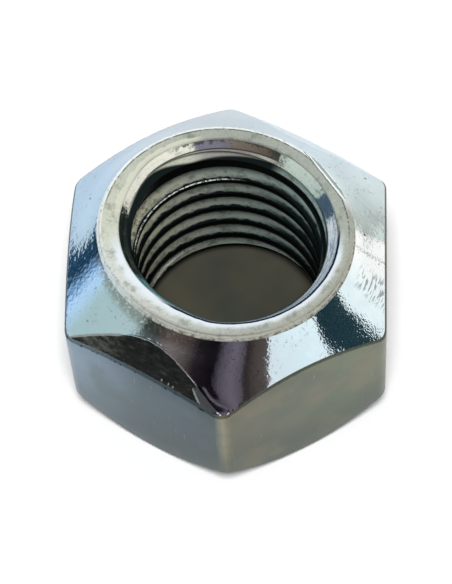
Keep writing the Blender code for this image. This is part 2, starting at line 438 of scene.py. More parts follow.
def add_wear_and_painted_light(radius, height, angles, below_rim, on_cone, on_flat, crimp_edge):
    """Heights with all the damage, a value for each place that chips, pits and the painted shadow in the
    gouge's hollow make negative and painted highlights on burrs, nicks, the gouge's edge and the crimp's
    left end make positive, and the gouge's ridge.
    """
    x = radius * np.cos(angles)
    y = radius * np.sin(angles)
    pressed = on_cone & (crown_height(radius) - height > LEAST_PRESSED)
    worn = np.zeros(height.shape)

    chips = ring_noise(angles, CHIP_NOISE)
    front = smooth_share((np.cos(angles - CRIMP_DIRECTIONS[1]) - CHIP_FRONT_START) / CHIP_FRONT_FADE)
    near = np.clip(1 - np.abs(below_rim) / CHIP_REACH, 0, 1) * (on_cone | on_flat)
    deep = CHIP_DEPTH_BEHIND + (1 - CHIP_DEPTH_BEHIND) * front
    dark = CHIP_DARK_BEHIND + (1 - CHIP_DARK_BEHIND) * front
    height = height - CHIP_DEPTH * smooth_share(chips / CHIP_FULL_DEPTH) * deep * near
    worn = worn - near * smooth_share(chips / CHIP_FULL_DARK) * dark

    rough = np.zeros(height.shape)
    for place in zip(*np.nonzero(pressed)):
        rough[place] = layered_noise((x[place], y[place], height[place]), PRESSED_NOISE)
    height = height + PRESSED_ROUGHNESS * rough

    # Burrs on the crimp's upper edge, raised a little and given a painted highlight
    ragged = ring_noise(angles, BURR_NOISE)
    above_crimp = radius - crimp_edge
    burr = hump(above_crimp - BURR_SWAY * BURR_REACH * ragged, BURR_REACH)
    burr = burr * smooth_share(ragged / BURR_FULL) * on_cone
    height = height + BURR_HEIGHT * burr
    worn = worn + BURR_SHINE * burr

    gouge = from_gouge(x, y)
    taper = smooth_share((radius - GOUGE_START) / GOUGE_TAPER)
    taper = taper * smooth_share((GOUGE_END - radius) / GOUGE_TAPER)
    ridge = hump(gouge, GOUGE_WIDTH) * taper * on_cone
    # Painted shadow: a shallow hollow beside the gouge's ridge, darkened
    hollow_and_painted_shadow = hump(gouge + GOUGE_HOLLOW_SETBACK, GOUGE_HOLLOW_WIDTH) * taper * on_cone
    # Painted highlight along the ridge's edge on the pressed side
    edge = hump(gouge - GOUGE_WIDTH, GOUGE_EDGE_WIDTH) * taper * on_cone
    height = height + GOUGE_RIDGE * ridge - GOUGE_HOLLOW_DEPTH * hollow_and_painted_shadow
    worn = worn - GOUGE_PAINTED_SHADOW * hollow_and_painted_shadow + GOUGE_EDGE_SHINE * edge

    # Nicks: raised spots with a painted highlight; pits: darker spots
    for spots, rise, shine in ((NICKS, NICK_HEIGHT, NICK_SHINE), (PITS, 0.0, -PIT_DARK)):
        for spot in spots:
            spot_x, spot_y = polar(*spot)
            near_spot = hump(np.hypot(x - spot_x, y - spot_y), SPOT_WIDTH) * on_cone
            height = height + rise * near_spot
            worn = worn + shine * near_spot
    # Painted highlight along the crimp's edge at its left end
    left_end = smooth_share((np.cos(angles - BRIGHT_EDGE_DIRECTION) - BRIGHT_EDGE_START) / BRIGHT_EDGE_FADE)
    worn = worn + BRIGHT_EDGE_SHINE * hump(above_crimp - SPOT_WIDTH / 2, SPOT_WIDTH) * left_end * on_cone
    return height, worn, ridge


REGIONS = ("bearing_face", "underside_chamfer", "flats", "crown", "collar", "face", "bore")


def nut_grid():
    """Every row of the surface, with the region that starts at it."""
    angles = FIRST_CORNER + np.arange(COLUMNS) * FULL_TURN / COLUMNS
    ring = np.ones(COLUMNS)
    hexagon = hexagon_radius(angles)
    rows = []
    regions = []
    marks = []

    def add(region, new_rows, new_marks=None):
        for index, (radius, height) in enumerate(new_rows):
            rows.append((radius * ring, height * ring))
            regions.append(REGIONS.index(region))
            marks.append(np.zeros(COLUMNS, int) if new_marks is None else new_marks[index])

    def add_side(region, count, start, before, corner, after):
        """Rows along a straight side and round the corner at its end."""
        add(region, straight_rows(start, before, count) + rounded_rows(before, corner, after))

    rise = SHARP_EDGE * CHAMFER_SLOPE
    chamfer_top = (hexagon - bearing_radius) * CHAMFER_SLOPE
    on_chamfer = (bearing_radius + SHARP_EDGE, rise)
    below_wall = (hexagon - SHARP_EDGE, chamfer_top - rise)
    on_wall = (hexagon, chamfer_top + SHARP_EDGE)
    edge_height = crown_surface(hexagon, angles)
    below_edge = (hexagon, edge_height - WALL_EDGE)
    inner = hexagon - WALL_EDGE
    on_crown = (inner, crown_surface(inner, angles))
    bearing_edge = (bearing_radius - SHARP_EDGE, 0.0)
    bottom_mouth = (BOTTOM_MOUTH, 0.0)
    add_side("bearing_face", FACE_ROWS, bottom_mouth, bearing_edge, (bearing_radius, 0.0), on_chamfer)
    add_side("underside_chamfer", CHAMFER_ROWS, on_chamfer, below_wall, (hexagon, chamfer_top), on_wall)
    add_side("flats", WALL_ROWS, on_wall, below_edge, (hexagon, edge_height), on_crown)

    slope = math.atan(CROWN_SLOPE)
    foot_rise = FOOT_RADIUS * (1 / math.cos(slope) - math.tan(slope))
    foot_centre = (COLLAR_RADIUS + FOOT_RADIUS, crown_top + foot_rise)
    foot_start = foot_centre[0] - FOOT_RADIUS * math.sin(slope)
    radii, crown_marks, crimp_edge = crown_rows(angles, inner, foot_start)
    heights = np.array([crown_surface(row, angles) for row in radii])
    add("crown", list(zip(radii, heights))[:-1], crown_marks)

    lip_centre = (COLLAR_RADIUS - LIP_RADIUS, nut_height - LIP_RADIUS)
    add("collar", arc_rows(foot_centre, FOOT_RADIUS, -math.pi / 2 - slope, slope - math.pi / 2))
    add("collar", arc_rows(lip_centre, LIP_RADIUS, 0, math.pi / 2))
    mouth_lean = math.atan(TOP_MOUTH_SLOPE)
    on_face = (TOP_MOUTH + MOUTH_EDGE, nut_height)
    mouth_drop = MOUTH_EDGE * math.sin(mouth_lean)
    in_mouth = (TOP_MOUTH - MOUTH_EDGE * math.cos(mouth_lean), nut_height - mouth_drop)
    add_side("face", TOP_ROWS, (lip_centre[0], nut_height), on_face, (TOP_MOUTH, nut_height), in_mouth)
    radii, heights, bore_marks = bore_rows(angles, in_mouth[1])
    add("bore", list(zip(radii, heights))[:-1], bore_marks)
    radius = np.array([row[0] for row in rows])
    height = np.array([row[1] for row in rows])
    return angles, radius, height, np.array(regions), np.array(marks), crimp_edge


def press_lip_flat(radius, height, angles):
    """Take the small flat off the collar's lip, behind on the right."""
    reach = radius * np.cos(angles - LIP_FLAT_DIRECTION)
    plane = nut_height - (reach - COLLAR_RADIUS + LIP_FLAT_DEPTH) * LIP_FLAT_SLOPE
    near = radius > COLLAR_RADIUS - 2 * LIP_FLAT_DEPTH
    return np.where(near & (height > plane) & (reach > 0), plane, height)


def nut_faces(rows, marks):
    """Triangles of the closed grid, with each diagonal along a kink where one crosses."""
    faces = []
    for row in range(rows):
        above = (row + 1) % rows
        for column in range(COLUMNS):
            beside = (column + 1) % COLUMNS
            a = row * COLUMNS + column
            b = row * COLUMNS + beside
            c = above * COLUMNS + beside
            d = above * COLUMNS + column
            rising = marks[row, column] and marks[row, column] == marks[above, beside]
            falling = marks[row, beside] and marks[row, beside] == marks[above, column]
            if falling and not rising:
                faces.extend([(a, b, d), (b, c, d)])
            else:
                faces.extend([(a, b, c), (a, c, d)])
    return faces


def build_nut():
    angles, radius, height, regions, marks, crimp_edge = nut_grid()
    height = press_lip_flat(radius, height, angles)
    on_cone = (regions == REGIONS.index("crown"))[:, None] & np.ones(COLUMNS, bool)
    on_flat = (regions == REGIONS.index("flats"))[:, None] & np.ones(COLUMNS, bool)
    hexagon = hexagon_radius(angles)
    pressed_depth = np.where(on_cone, np.maximum(crown_height(radius) - height, 0), 0)
    below_rim = np.where(on_flat, crown_surface(hexagon, angles) - height, hexagon - radius)
    height, worn, gouged = add_wear_and_painted_light(radius, height, angles, below_rim, on_cone, on_flat, crimp_edge)
    scale = squeeze(radius, height, angles)
    pushed = push_mouth(radius, height, angles)
    points = np.stack([pushed * np.cos(angles) * scale, pushed * np.sin(angles) * scale, height], axis=-1)
    mesh = bpy.data.meshes.new("lock_nut_surface")
    mesh.from_pydata(points.reshape(-1, 3).tolist(), [], nut_faces(len(regions), marks))
    face_regions = np.repeat(regions, 2 * COLUMNS)
    mesh.polygons.foreach_set("material_index", face_regions.astype(np.int32))
    measures = {
        "pressed_depth": pressed_depth * MM,
        "below_rim": below_rim * MM,
        "turned_radius": radius * MM,
        "worn": worn,
        "gouged": gouged,
    }
    for name, values in measures.items():
        layer = mesh.attributes.new(name, "FLOAT", "POINT")
        layer.data.foreach_set("value", values.reshape(-1).astype(np.float32))
    mesh.shade_smooth()
    mesh.set_sharp_from_angle(angle=SHADED_EDGE)
    return add_object("lock_nut_surface", mesh)


# Materials. Each metal is made from tables, with lengths in mm and directions in degrees from +X:
#   noises     name: (scale, detail, roughness); three scales run along the ring, outward and upward
#   colours    (direction, colour), round the ring
#   marks      (colour, strength, conditions), each laid over what is there
#   relief     (measure, depth in metres, conditions)
#   condition  (measure, low, high) grows from 0 to 1, and with four numbers it falls to 0 again;
#              ("sector", direction, half width, softness); or a measure alone, which is a share

FULL_TURN_DEG = 360.0
CREST_MM = THREAD_MINOR * MM
LIP_SWAY = 0.08


def ramp_node(tree, share, stops):
    """Colour ramp over a share from 0 to 1; stops are (position, colour)."""
    made = tree.nodes.new("ShaderNodeValToRGB")
    tree.links.new(share, made.inputs["Fac"])
    elements = made.color_ramp.elements
    while len(elements) < len(stops):
        elements.new(0.5)
    for element, (position, colour) in zip(elements, stops):
        element.position = position
        element.color = (*colour, 1.0)
    return made.outputs["Color"]


class Look:
    """One metal's node tree, and the measures by name that its marks and relief depend on."""

    def __init__(self, name, colour, roughness, noises):
        self.material = bpy.data.materials.new(name)
        self.material.use_nodes = True
        self.tree = self.material.node_tree
        self.shader = self.tree.nodes["Principled BSDF"]
        self.shader.inputs["Base Color"].default_value = (*colour, 1.0)
        self.shader.inputs["Metallic"].default_value = 1.0
        self.shader.inputs["Roughness"].default_value = roughness
        self.measures = {}
        spot = self.node("ShaderNodeTexCoord").outputs["Object"]
        self.place = self.vector("SCALE", spot, MM)
        parts = self.node("ShaderNodeSeparateXYZ", Vector=self.place).outputs
        self.measures.update(x=parts["X"], y=parts["Y"], z=parts["Z"])
        flat = self.node("ShaderNodeCombineXYZ", X="x", Y="y").outputs["Vector"]
        self.measures["radius"] = self.vector("LENGTH", flat)
        self.measures["angle"] = self.calculate("ARCTAN2", "y", "x")
        for measure, settings in noises.items():
            self.measures[measure] = self.noise(*settings)

    def measure(self, name):
        """A measure by its name; one that isn't set yet is an attribute of the mesh."""
        if name not in self.measures:
            made = self.tree.nodes.new("ShaderNodeAttribute")
            made.attribute_name = name
            self.measures[name] = made.outputs["Fac"]
        return self.measures[name]

    def node(self, kind, **values):
        made = self.tree.nodes.new(kind)
        for name, value in values.items():
            self.feed(made.inputs[name], value)
        return made

    def feed(self, socket, value):
        """Give a socket a measure by its name, another node's output, a colour or a number."""
        if isinstance(value, str):
            value = self.measure(value)
        if isinstance(value, bpy.types.NodeSocket):
            self.tree.links.new(value, socket)
        elif isinstance(value, tuple) and socket.type == "RGBA":
            socket.default_value = (*value, 1.0)
        else:
            socket.default_value = value

    def calculate(self, operation, *values):
        made = self.tree.nodes.new("ShaderNodeMath")
        made.operation = operation
        for socket, value in zip(made.inputs, values):
            self.feed(socket, value)
        return made.outputs["Value"]

    def vector(self, operation, first, second=None):
        made = self.tree.nodes.new("ShaderNodeVectorMath")
        made.operation = operation
        self.feed(made.inputs[0], first)
        if second is not None:
            self.feed(made.inputs["Scale" if operation == "SCALE" else 1], second)
        return made.outputs["Value" if operation in ("LENGTH", "DOT_PRODUCT") else "Vector"]

    def noise(self, scale, detail, roughness):
        where = self.place
        if isinstance(scale, tuple):
            stretched = [self.both(*pair) for pair in zip(("angle", "radius", "z"), scale)]
            where = self.node("ShaderNodeCombineXYZ", **dict(zip("XYZ", stretched))).outputs["Vector"]
            scale = 1.0
        settings = {"Scale": scale, "Detail": detail, "Roughness": roughness}
        return self.node("ShaderNodeTexNoise", Vector=where, **settings).outputs["Fac"]

    def share(self, value, low, high):
        """0 at low, 1 at high and smooth between; low may be the larger one."""
        made = self.tree.nodes.new("ShaderNodeMapRange")
        made.interpolation_type = "SMOOTHSTEP"
        self.feed(made.inputs["Value"], value)
        flip = low > high
        made.inputs["From Min"].default_value = min(low, high)
        made.inputs["From Max"].default_value = max(low, high)
        made.inputs["To Min"].default_value = 1.0 if flip else 0.0
        made.inputs["To Max"].default_value = 0.0 if flip else 1.0
        return made.outputs["Result"]

    def sector(self, degrees, half_width, softness):
        """Share of how far a place lies within a sector of the ring."""
        turn = math.radians(degrees)
        across = self.vector("DOT_PRODUCT", self.place, (math.cos(turn), math.sin(turn), 0.0))
        cosine = self.calculate("DIVIDE", across, "radius")
        outer = math.cos(math.radians(half_width + softness))
        inner = math.cos(math.radians(max(half_width - softness, 0.0)))
        return self.share(cosine, outer, inner)

    def condition(self, name, *limits):
        """Share of how far one condition is met."""
        if name == "sector":
            return self.sector(*limits)
        if not limits:
            return self.measure(name)
        if len(limits) == 2:
            return self.share(name, *limits)
        start, full, fade, end = limits
        return self.both(self.share(name, start, full), self.share(name, end, fade))

    def both(self, *values):
        """Product of all the values."""
        product = values[0]
        for value in values[1:]:
            product = self.calculate("MULTIPLY", product, value)
        return product

    def most(self, *values):
        """Largest of the values."""
        largest = values[0]
        for value in values[1:]:
            largest = self.calculate("MAXIMUM", largest, value)
        return largest

    def meet(self, *conditions):
        """Share of how far all the conditions are met."""
        return self.both(*[self.condition(*condition) for condition in conditions])

    def scaled(self, value, times, plus):
        return self.calculate("MULTIPLY_ADD", value, times, plus)

    def frayed(self, value, noise, reach):
        """The value moved up and down by noise, by the reach at most."""
        return self.calculate("ADD", value, self.scaled(noise, 2 * reach, -reach))

    def blend(self, share, first, second):
        made = self.tree.nodes.new("ShaderNodeMix")
        made.data_type = "RGBA"
        self.feed(made.inputs["Factor"], share)
        self.feed(made.inputs[6], first)
        self.feed(made.inputs[7], second)
        return made.outputs[2]

    def marked(self, colour, marks):
        """The colour with marks laid over it."""
        for mark, strength, *conditions in marks:
            colour = self.blend(self.both(strength, self.meet(*conditions)), colour, mark)
        return colour

    def colours_round(self, stops, noise=None, reach=0.0):
        """Colour by direction round the axis."""
        share = self.scaled("angle", 1 / FULL_TURN, 0.5)
        if noise is not None:
            share = self.frayed(share, noise, reach)
        places = [(degrees / FULL_TURN_DEG + 0.5, colour) for degrees, colour in stops]
        return ramp_node(self.tree, share, places)

    def measure_lip(self):
        """Distance toward the small flat on the lip, slightly frayed."""
        toward = (math.cos(LIP_FLAT_DIRECTION), math.sin(LIP_FLAT_DIRECTION), 0.0)
        reach = self.vector("DOT_PRODUCT", self.place, toward)
        self.measures["lip_reach"] = self.frayed(reach, "lip_fray", LIP_SWAY)

    def finish(self, colour, marks, relief, roughness=None):
        self.feed(self.shader.inputs["Base Color"], self.marked(colour, marks))
        if roughness is not None:
            self.feed(self.shader.inputs["Roughness"], roughness)
        normal = None
        for measure, depth, *conditions in relief:
            height = self.both(measure, *[self.condition(*condition) for condition in conditions])
            made = self.node("ShaderNodeBump", Height=height, Distance=depth)
            if normal is not None:
                self.feed(made.inputs["Normal"], normal)
            normal = made.outputs["Normal"]
        self.feed(self.shader.inputs["Normal"], normal)
        return self.material


CROWN_NOISES = {
    "cloud": (0.35, 3.0, 0.6),
    "fine": (3.5, 4.0, 0.65),
    "dots": (5.0, 3.0, 0.7),
    "pits": (2.3, 5.0, 0.75),
    "patches": (0.8, 2.0, 0.5),
    "scratches": ((14.0, 7.0, 0.0), 2.0, 0.5),
    "scrape": ((14.0, 1.0, 3.0), 4.0, 0.7),
    "rings": ((2.0, 9.0, 0.0), 3.0, 0.6),
    "ripple": (2.6, 1.0, 0.6),
    "speckle": (6.0, 1.0, 0.6),
    "brush": ((3.0, 14.0, 0.0), 1.0, 0.5),
    "uneven": (3.4, 1.0, 0.6),
}
# Crown colour round the ring: blue-grey zinc with painted reflections; the near-white band from -10 to 1.2
# degrees is a painted reflection
CROWN_TINT_AND_PAINTED_REFLECTIONS = (
    (-178, (0.50, 0.65, 0.78)),
    (-158, (0.60, 0.77, 0.95)),
    (-150, (0.52, 0.64, 0.68)),
    (-90, (0.62, 0.64, 0.68)),
    (-60, (0.70, 0.86, 0.93)),
    (-24, (0.80, 0.93, 0.95)),
    (-10, (0.98, 1.0, 0.98)),
    (1.2, (1.0, 1.0, 0.98)),
    (1.8, (0.62, 0.70, 0.66)),
    (30, (0.67, 0.78, 0.80)),
    (50, (0.64, 0.76, 0.82)),
    (100, (0.46, 0.545, 0.61)),
    (150, (0.41, 0.585, 0.77)),
    (178, (0.48, 0.66, 0.82)),
)
# Pressed crimp faces, grained by the scrape noise: near-black painted shade on the front crimp, pale
# painted sheen on the back one
PRESSED_PAINTED_SHADE = ((0.30, (0.010, 0.011, 0.012)), (0.55, (0.020, 0.021, 0.020)), (0.80, (0.075, 0.075, 0.068)))
PRESSED_PAINTED_SHEEN = ((0.30, (0.62, 0.73, 0.79)), (0.80, (0.72, 0.84, 0.91)))
PRESSED_MARKS = (((0.13, 0.14, 0.12), 0.7, ("sector", -150.0, 14.0, 8.0), ("scrape", 0.35, 0.65)),)
SCRATCHED = ("sector", -18.0, 4.0, 3.0)
CROWN_MARKS = (
    ((0.44, 0.53, 0.58), 0.15, ("cloud", 0.60, 0.40)),
    ((0.06, 0.08, 0.08), 0.85, ("pits", 0.735, 0.76)),
    ((0.20, 0.22, 0.24), 0.75, ("scratches", 0.50, 0.60), ("radius", 10.2, 10.6), SCRATCHED),
    ((0.16, 0.21, 0.22), 0.65, ("dots", 0.56, 0.66), ("patches", 0.48, 0.62)),
    ((0.14, 0.20, 0.17), 0.7, ("torn_degrees", -7.2, -6.6, -6.0, -5.4), ("dots", 0.44, 0.52)),
    ("pressed_metal", 1.0, ("pressed",)),
    # Painted shade: a brownish contact shadow on the crown along the collar's foot, on the front-left
    ((0.24, 0.22, 0.16), 0.7, ("radius", 10.1, 9.55), ("sector", -140.0, 38.0, 10.0), ("fine", 0.36, 0.52)),
    ((0.03, 0.03, 0.03), 0.6, ("torn_rim", 0.05, 0.0)),
    # Painted highlights on burrs, nicks and edges
    ((0.36, 0.39, 0.39), 0.8, ("worn", 0.45, 1.0)),
    # Dark chips and pits, and the painted shadow in the gouge's hollow
    ((0.008, 0.008, 0.009), 1.0, ("worn", -0.25, -0.75)),
    ((0.060, 0.064, 0.070), 1.0, ("gouged", 0.25, 0.6)),
)
CROWN_SWAY = 0.008
SEAM_SWAY_DEG = 6.0
RIM_SWAY = 0.15
PRESSED_PATCHES = (2.4, -0.5)
PRESSED_START = (0.004, 0.02)
# Across y from -2 to 2 mm the pressed faces go from painted shade in front to painted sheen behind
PAINTED_SHEEN_SIDE = ("y", -2.0, 2.0)
OUTWARD = ("radius", 11.2, 12.2)
OUTWARD_GAIN = 1.3
CALM = ("sector", -97.0, 22.0, 8.0)
CALM_LOSS = 0.65
CROWN_RELIEF = (
    ("rings", 0.0000014),
    ("ripple", 0.000018, ("sector", -170.0, 22.0, 10.0)),
    ("speckle", 0.000006, ("sector", -39.0, 10.0, 3.0), ("outward",)),
    ("brush", 0.0000016, ("sector", -100.0, 26.0, 6.0)),
    ("uneven", 0.000007, ("calm",)),
    ("pressed", 0.00006, ("fine",)),
)


def crown_metal():
    """Bright blue-white zinc on the cone, with painted reflections round the ring, and the rougher pressed
    faces of the two crimps: near-black painted shade on the front one and a pale painted sheen on the back
    one.
    """
    look = Look("zinc_crown", (0.60, 0.70, 0.76), 0.14, CROWN_NOISES)
    degrees = look.both("angle", FULL_TURN_DEG / FULL_TURN)
    patchy = look.both("pressed_depth", look.scaled("fine", *PRESSED_PATCHES))
    # Pressed faces: painted shade in front, painted sheen behind
    pressed_in_shade = look.marked(ramp_node(look.tree, look.measure("scrape"), PRESSED_PAINTED_SHADE), PRESSED_MARKS)
    pale = ramp_node(look.tree, look.measure("scrape"), PRESSED_PAINTED_SHEEN)
    look.measures.update(
        torn_degrees=look.frayed(degrees, "dots", SEAM_SWAY_DEG),
        torn_rim=look.frayed("below_rim", "fine", RIM_SWAY),
        pressed=look.share(patchy, *PRESSED_START),
        pressed_metal=look.blend(look.condition(*PAINTED_SHEEN_SIDE), pressed_in_shade, pale),
        outward=look.scaled(look.condition(*OUTWARD), OUTWARD_GAIN, 1.0),
        calm=look.scaled(look.condition(*CALM), -CALM_LOSS, 1.0),
    )
    colour = look.colours_round(CROWN_TINT_AND_PAINTED_REFLECTIONS, "fine", CROWN_SWAY)
    roughness = look.scaled("pressed", 0.28, look.scaled("cloud", 0.08, 0.03))
    return look.finish(colour, CROWN_MARKS, CROWN_RELIEF, roughness)


# The small flat on the lip: dark seam, white inner edge that is a painted highlight, grey-green face and
# outer seam
ON_LIP = (("z", 14.95, 15.05), ("sector", 34.0, 18.0, 3.0))
LIP_NOISE = (2.0, 3.0, 0.6)
LIP_MARKS = (
    ((0.10, 0.12, 0.10), 1.0, ("lip_reach", 8.56, 8.60, 8.63, 8.67), *ON_LIP),
    ((0.95, 0.98, 0.98), 1.0, ("lip_reach", 8.63, 8.67, 8.78, 8.82), *ON_LIP),
    ((0.36, 0.45, 0.42), 1.0, ("lip_reach", 8.78, 8.82, 8.96, 9.00), *ON_LIP),
    ((0.07, 0.11, 0.10), 1.0, ("lip_reach", 8.96, 9.00, 9.02, 9.06), *ON_LIP),
)
COLLAR_NOISES = {"fine": (3.0, 4.0, 0.65), "specks": (2.4, 4.0, 0.7), "lip_fray": LIP_NOISE}
# Collar colour round the ring: grey zinc in front, and a painted white highlight on the lip behind, from 22
# to 150 degrees
COLLAR_TONE_AND_PAINTED_HIGHLIGHT = (
    (-180, (0.80, 0.84, 0.80)),
    (-150, (0.66, 0.72, 0.72)),
    (-122, (0.50, 0.51, 0.46)),
    (-70, (0.44, 0.44, 0.38)),
    (-20, (0.42, 0.42, 0.36)),
    (8, (0.42, 0.43, 0.37)),
    (22, (0.90, 0.94, 0.94)),
    (150, (0.92, 0.96, 0.97)),
    (180, (0.80, 0.84, 0.80)),
)
COLLAR_MARKS = (
    ((0.22, 0.23, 0.20), 0.5, ("fine", 0.50, 0.68)),
    ((0.10, 0.085, 0.055), 0.8, ("sector", -65.0, 68.0, 12.0), ("z", 15.22, 15.02), ("specks", 0.46, 0.58)),
    *LIP_MARKS,
)


def collar_metal():
    """The collar's wall and its rounded lip, with a painted white highlight behind and grey in front."""
    look = Look("zinc_collar", (0.72, 0.78, 0.80), 0.4, COLLAR_NOISES)
    look.measure_lip()
    return look.finish(look.colours_round(COLLAR_TONE_AND_PAINTED_HIGHLIGHT), COLLAR_MARKS, (("fine", 0.00002),))


FACE_NOISES = {
    "cloud": (0.9, 4.0, 0.6),
    "grain": (9.0, 3.0, 0.6),
    "dots": (2.2, 3.0, 0.6),
    "rings": ((3.0, 16.0, 0.0), 3.0, 0.6),
    "lip_fray": LIP_NOISE,
}
# Face colour round the ring: cream-grey zinc with painted light, lighter on the left and darker in front,
# on the right and behind
FACE_TONE_AND_PAINTED_LIGHT = (
    (-180, (0.66, 0.69, 0.58)),
    (-150, (0.72, 0.76, 0.72)),
    (-120, (0.60, 0.63, 0.58)),
    (-80, (0.46, 0.49, 0.46)),
    (-30, (0.46, 0.49, 0.43)),
    (20, (0.42, 0.46, 0.41)),
    (90, (0.40, 0.43, 0.38)),
    (150, (0.60, 0.63, 0.54)),
    (180, (0.66, 0.69, 0.58)),
)
NEAR_SIDE = ("sector", -62.0, 62.0, 8.0)
FAR_SIDE = ("sector", 80.0, 85.0, 8.0)
FACE_MARKS = (
    ((0.20, 0.24, 0.19), 0.65, ("cloud", 0.50, 0.70)),
    ((0.18, 0.19, 0.15), 0.4, ("grain", 0.50, 0.75)),
    ((0.85, 0.87, 0.80), 0.5, ("grain", 0.42, 0.25)),
    # Painted highlight: blue-white glare on the inner part of the near side
    ((0.86, 0.94, 0.99), 0.85, ("inward", 8.85, 8.45), ("y", 0.2, -2.6)),
    ((0.74, 0.75, 0.62), 0.8, ("inward", 8.56, 8.50), ("sector", 140.0, 34.0, 5.0)),
    # Mouth's rounded edge on the near side: a dark navy painted reflection, with a thin painted highlight
    # at its inner rim
    ((0.006, 0.022, 0.055), 1.0, ("edge", 8.17, 8.20, 8.33, 8.38), NEAR_SIDE),
    ((0.92, 0.97, 1.0), 1.0, ("edge", 8.19, 8.16), NEAR_SIDE),
    # Painted shade of a fine groove: a broken dark line on the far side
    ((0.06, 0.085, 0.07), 0.75, ("turned_radius", 8.93, 8.99), ("dots", 0.42, 0.50), FAR_SIDE),
    *LIP_MARKS,
)
FACE_RELIEF = (("rings", 0.000012), ("grain", 0.00001))
SHINE_SWAY = 0.25
EDGE_SWAY = 0.08


def face_metal():
    """The turned top of the collar: matte cream-grey with painted light round the ring and fine specks, and
    a painted highlight along the near inner border.
    """
    look = Look("zinc_face", (0.50, 0.53, 0.47), 0.5, FACE_NOISES)
    look.measure_lip()
    look.measures["inward"] = look.frayed("turned_radius", "cloud", SHINE_SWAY)
    look.measures["edge"] = look.frayed("turned_radius", "cloud", EDGE_SWAY)
    colour = look.colours_round(FACE_TONE_AND_PAINTED_LIGHT)
    return look.finish(colour, FACE_MARKS, FACE_RELIEF, look.scaled("cloud", 0.2, 0.34))


BORE_NOISES = {
    "cloud": ((9.0, 2.0, 2.0), 4.0, 0.65),
    "grain": (8.0, 4.0, 0.7),
    "grime": (3.6, 5.0, 0.75),
    "wobble": (2.2, 5.0, 0.8),
    "fray": (3.0, 4.0, 0.7),
    "streaks": ((9.0, 5.0, 5.0), 3.0, 0.7),
}
# Flank colour round the ring, painted reflected light: pale cream on the left, darker grey-green and teal
# elsewhere
FLANK_TONE_AND_PAINTED_LIGHT = (
    (-180, (0.34, 0.34, 0.25)),
    (-90, (0.20, 0.26, 0.28)),
    (-30, (0.20, 0.28, 0.29)),
    (20, (0.29, 0.40, 0.39)),
    (60, (0.29, 0.37, 0.34)),
    (100, (0.27, 0.31, 0.27)),
    (150, (0.46, 0.46, 0.35)),
    (180, (0.34, 0.34, 0.25)),
)
FLANK_MARKS = (
    ((0.06, 0.075, 0.06), 0.7, ("cloud", 0.46, 0.70)),
    ((0.03, 0.03, 0.02), 0.7, ("grain", 0.60, 0.70)),
    ((0.07, 0.055, 0.03), 0.8, ("grime", 0.50, 0.58), ("sector", 166.0, 22.0, 8.0), ("z", 10.8, 11.8)),
    # Painted shade: darker deeper in the grooves
    ((0.02, 0.035, 0.035), 0.65, ("turned_radius", 7.35, 7.95)),
    ((0.010, 0.016, 0.016), 1.0, ("dark",)),
)
# Mouth colour round the ring, painted reflections and painted shade: blue-white in front on the right, near
# black on the left, cream behind on the left and brown behind
MOUTH_TONE_AND_PAINTED_LIGHT = (
    (-180, (0.008, 0.014, 0.012)),
    (-152, (0.008, 0.016, 0.014)),
    (-146, (0.10, 0.27, 0.29)),
    (-105, (0.08, 0.22, 0.25)),
    (-60, (0.55, 0.70, 0.85)),
    (-15, (0.85, 0.95, 1.0)),
    (6, (0.78, 0.90, 0.98)),
    (11, (0.06, 0.11, 0.17)),
    (25, (0.08, 0.14, 0.20)),
    (29, (0.60, 0.72, 0.66)),
    (56, (0.62, 0.74, 0.66)),
    (60, (0.03, 0.035, 0.03)),
    (67, (0.13, 0.105, 0.08)),
    (88, (0.20, 0.17, 0.14)),
    (92, (0.20, 0.19, 0.25)),
    (108, (0.22, 0.21, 0.27)),
    (112, (0.88, 0.88, 0.76)),
    (162, (0.92, 0.92, 0.80)),
    (167, (0.008, 0.014, 0.012)),
)
SHEEN = ("sector", -22.0, 34.0, 6.0)
GLINT = ("sector", -78.0, 58.0, 6.0)
MOUTH_MARKS = (
    ((0.12, 0.12, 0.10), 0.3, ("cloud", 0.50, 0.66)),
    ((0.08, 0.08, 0.07), 0.6, ("grain", 0.55, 0.70)),
    ((0.04, 0.045, 0.035), 0.8, ("border", 8.02, 8.10), ("sector", 88.0, 32.0, 6.0)),
    ((0.20, 0.32, 0.52), 0.7, ("streaks", 0.50, 0.56), SHEEN),
    ((0.98, 1.0, 1.0), 0.9, ("streaks", 0.44, 0.38), SHEEN),
    ((0.70, 0.85, 0.95), 1.0, ("turned_radius", 7.94, 8.0), ("grain", 0.40, 0.48), GLINT),
)
# Painted shade in the bore: dark crests, their shaded side, the relief, and the left side under the mouth
PAINTED_SHADE_PARTS = (
    (("torn", CREST_MM + 0.28, CREST_MM + 0.15),),
    (("torn", CREST_MM + 0.55, CREST_MM + 0.25), ("sector", 30.0, 35.0, 15.0)),
    (("z", 12.2, 12.5), ("turned_radius", 7.44, 7.38)),
    (("z", 12.5, 12.8), ("sector", 133.0, 73.0, 5.0)),
)
